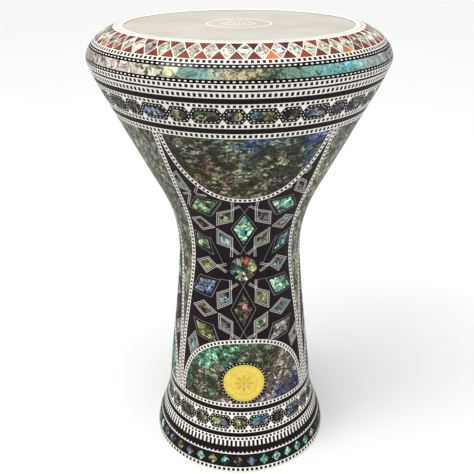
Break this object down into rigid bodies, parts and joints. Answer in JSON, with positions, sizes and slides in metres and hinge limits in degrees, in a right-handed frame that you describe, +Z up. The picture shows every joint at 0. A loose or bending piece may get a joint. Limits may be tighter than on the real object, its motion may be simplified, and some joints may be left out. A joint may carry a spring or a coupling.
{
  "type": "goblet drum",
  "caption": "Goblet-shaped hand drum: cast aluminium shell with shell inlay, plastic head, rounded tension ring and hidden tuning screws.",
  "frame": {"origin": "on the drum's axis, at the level of the surface the foot stands on", "axes": "+Z up along the drum's axis from foot to head; -Y towards the front, through the middle of one of the three inlaid fields; +X to the front's right"},
  "size_m": [0.275, 0.275, 0.4394],
  "materials": {
    "cast_aluminium": "as cast and linished, satin",
    "ring_aluminium": "machined, satin",
    "hoop_aluminium": "drawn bar, satin",
    "screw_steel": "blackened socket screw",
    "drumhead": "warm light grey plastic film with a slight sheen",
    "bead_strip": "ivory and black strip inlay under clear lacquer",
    "pearl_diamond": "pearl diamonds on dark red, under clear lacquer",
    "pearl": "pale and green shell, polished, under clear lacquer",
    "chain_inlay": "shell hexagons in black dotted frames, lacquered",
    "dark_mosaic": "small dark shell chips in black resin, lacquered",
    "grey_mosaic": "grey and olive shell chips in resin, lacquered",
    "green_mosaic": "green, pink and blue shell chips in resin, lacquered",
    "abalone_diamond": "green shell diamonds on black, lacquered",
    "black_field": "black ground with inlaid shell rhombi, lacquered",
    "medallion_brass": "stamped sheet brass, polished"
  },
  "bodies": {
    "goblet": {"goblet_shell": "cast_aluminium", "drumhead_film": "drumhead", "flesh_hoop": "hoop_aluminium", "shoulder_upper_ribbon": "bead_strip", "shoulder_chain_band": "chain_inlay", "shoulder_lower_ribbon": "bead_strip", "foot_upper_ribbon": "bead_strip", "foot_chain_band": "chain_inlay", "foot_middle_ribbon": "bead_strip", "foot_bar_band": "bead_strip", "foot_diamond_band": "abalone_diamond", "foot_rim_strip": "bead_strip", "upper_lens_panel_1": "dark_mosaic", "upper_lens_strip_1": "bead_strip", "border_strip_left_1": "bead_strip", "border_strip_right_1": "bead_strip", "field_panel_1": "black_field", "lower_arch_strip_1": "bead_strip", "lower_lens_panel_1": "green_mosaic", "medallion_bead_ring_1": "bead_strip", "medallion_1": "medallion_brass", "wedge_panel_1": "grey_mosaic", "upper_lens_panel_2": "dark_mosaic", "upper_lens_strip_2": "bead_strip", "border_strip_left_2": "bead_strip", "border_strip_right_2": "bead_strip", "field_panel_2": "black_field", "lower_arch_strip_2": "bead_strip", "lower_lens_panel_2": "green_mosaic", "medallion_bead_ring_2": "bead_strip", "medallion_2": "medallion_brass", "wedge_panel_2": "grey_mosaic", "upper_lens_panel_3": "dark_mosaic", "upper_lens_strip_3": "bead_strip", "border_strip_left_3": "bead_strip", "border_strip_right_3": "bead_strip", "field_panel_3": "black_field", "lower_arch_strip_3": "bead_strip", "lower_lens_panel_3": "green_mosaic", "medallion_bead_ring_3": "bead_strip", "medallion_3": "medallion_brass", "wedge_panel_3": "grey_mosaic"},
    "ring": {"tension_ring": "ring_aluminium", "ring_lip_strip": "bead_strip", "ring_diamond_band": "pearl_diamond", "ring_upper_ribbon": "bead_strip", "ring_pearl_band": "pearl", "ring_lower_ribbon": "bead_strip"},
    "bolt_1": {"tuning_bolt_1": "screw_steel"},
    "bolt_2": {"tuning_bolt_2": "screw_steel"},
    "bolt_3": {"tuning_bolt_3": "screw_steel"},
    "bolt_4": {"tuning_bolt_4": "screw_steel"},
    "bolt_5": {"tuning_bolt_5": "screw_steel"},
    "bolt_6": {"tuning_bolt_6": "screw_steel"},
    "bolt_7": {"tuning_bolt_7": "screw_steel"},
    "bolt_8": {"tuning_bolt_8": "screw_steel"}
  },
  "joints": [
    {"name": "ring_slide", "type": "slide", "parent": "goblet", "child": "ring", "axis": [0, 0, 1], "range_m": [0, 0.004]},
    {"name": "bolt_1_turn", "type": "hinge", "parent": "goblet", "child": "bolt_1", "pos_m": [0.10717, 0.04439, 0.3997], "axis": [0, 0, 1], "range_deg": [-1440, 0]},
    {"name": "bolt_2_turn", "type": "hinge", "parent": "goblet", "child": "bolt_2", "pos_m": [0.04439, 0.10717, 0.3997], "axis": [0, 0, 1], "range_deg": [-1440, 0]},
    {"name": "bolt_3_turn", "type": "hinge", "parent": "goblet", "child": "bolt_3", "pos_m": [-0.04439, 0.10717, 0.3997], "axis": [0, 0, 1], "range_deg": [-1440, 0]},
    {"name": "bolt_4_turn", "type": "hinge", "parent": "goblet", "child": "bolt_4", "pos_m": [-0.10717, 0.04439, 0.3997], "axis": [0, 0, 1], "range_deg": [-1440, 0]},
    {"name": "bolt_5_turn", "type": "hinge", "parent": "goblet", "child": "bolt_5", "pos_m": [-0.10717, -0.04439, 0.3997], "axis": [0, 0, 1], "range_deg": [-1440, 0]},
    {"name": "bolt_6_turn", "type": "hinge", "parent": "goblet", "child": "bolt_6", "pos_m": [-0.04439, -0.10717, 0.3997], "axis": [0, 0, 1], "range_deg": [-1440, 0]},
    {"name": "bolt_7_turn", "type": "hinge", "parent": "goblet", "child": "bolt_7", "pos_m": [0.04439, -0.10717, 0.3997], "axis": [0, 0, 1], "range_deg": [-1440, 0]},
    {"name": "bolt_8_turn", "type": "hinge", "parent": "goblet", "child": "bolt_8", "pos_m": [0.10717, -0.04439, 0.3997], "axis": [0, 0, 1], "range_deg": [-1440, 0]}
  ],
  "couplings": [
    {"joint": "bolt_1_turn", "follows": "ring_slide", "rad_per_m": -6283},
    {"joint": "bolt_2_turn", "follows": "ring_slide", "rad_per_m": -6283},
    {"joint": "bolt_3_turn", "follows": "ring_slide", "rad_per_m": -6283},
    {"joint": "bolt_4_turn", "follows": "ring_slide", "rad_per_m": -6283},
    {"joint": "bolt_5_turn", "follows": "ring_slide", "rad_per_m": -6283},
    {"joint": "bolt_6_turn", "follows": "ring_slide", "rad_per_m": -6283},
    {"joint": "bolt_7_turn", "follows": "ring_slide", "rad_per_m": -6283},
    {"joint": "bolt_8_turn", "follows": "ring_slide", "rad_per_m": -6283}
  ]
}
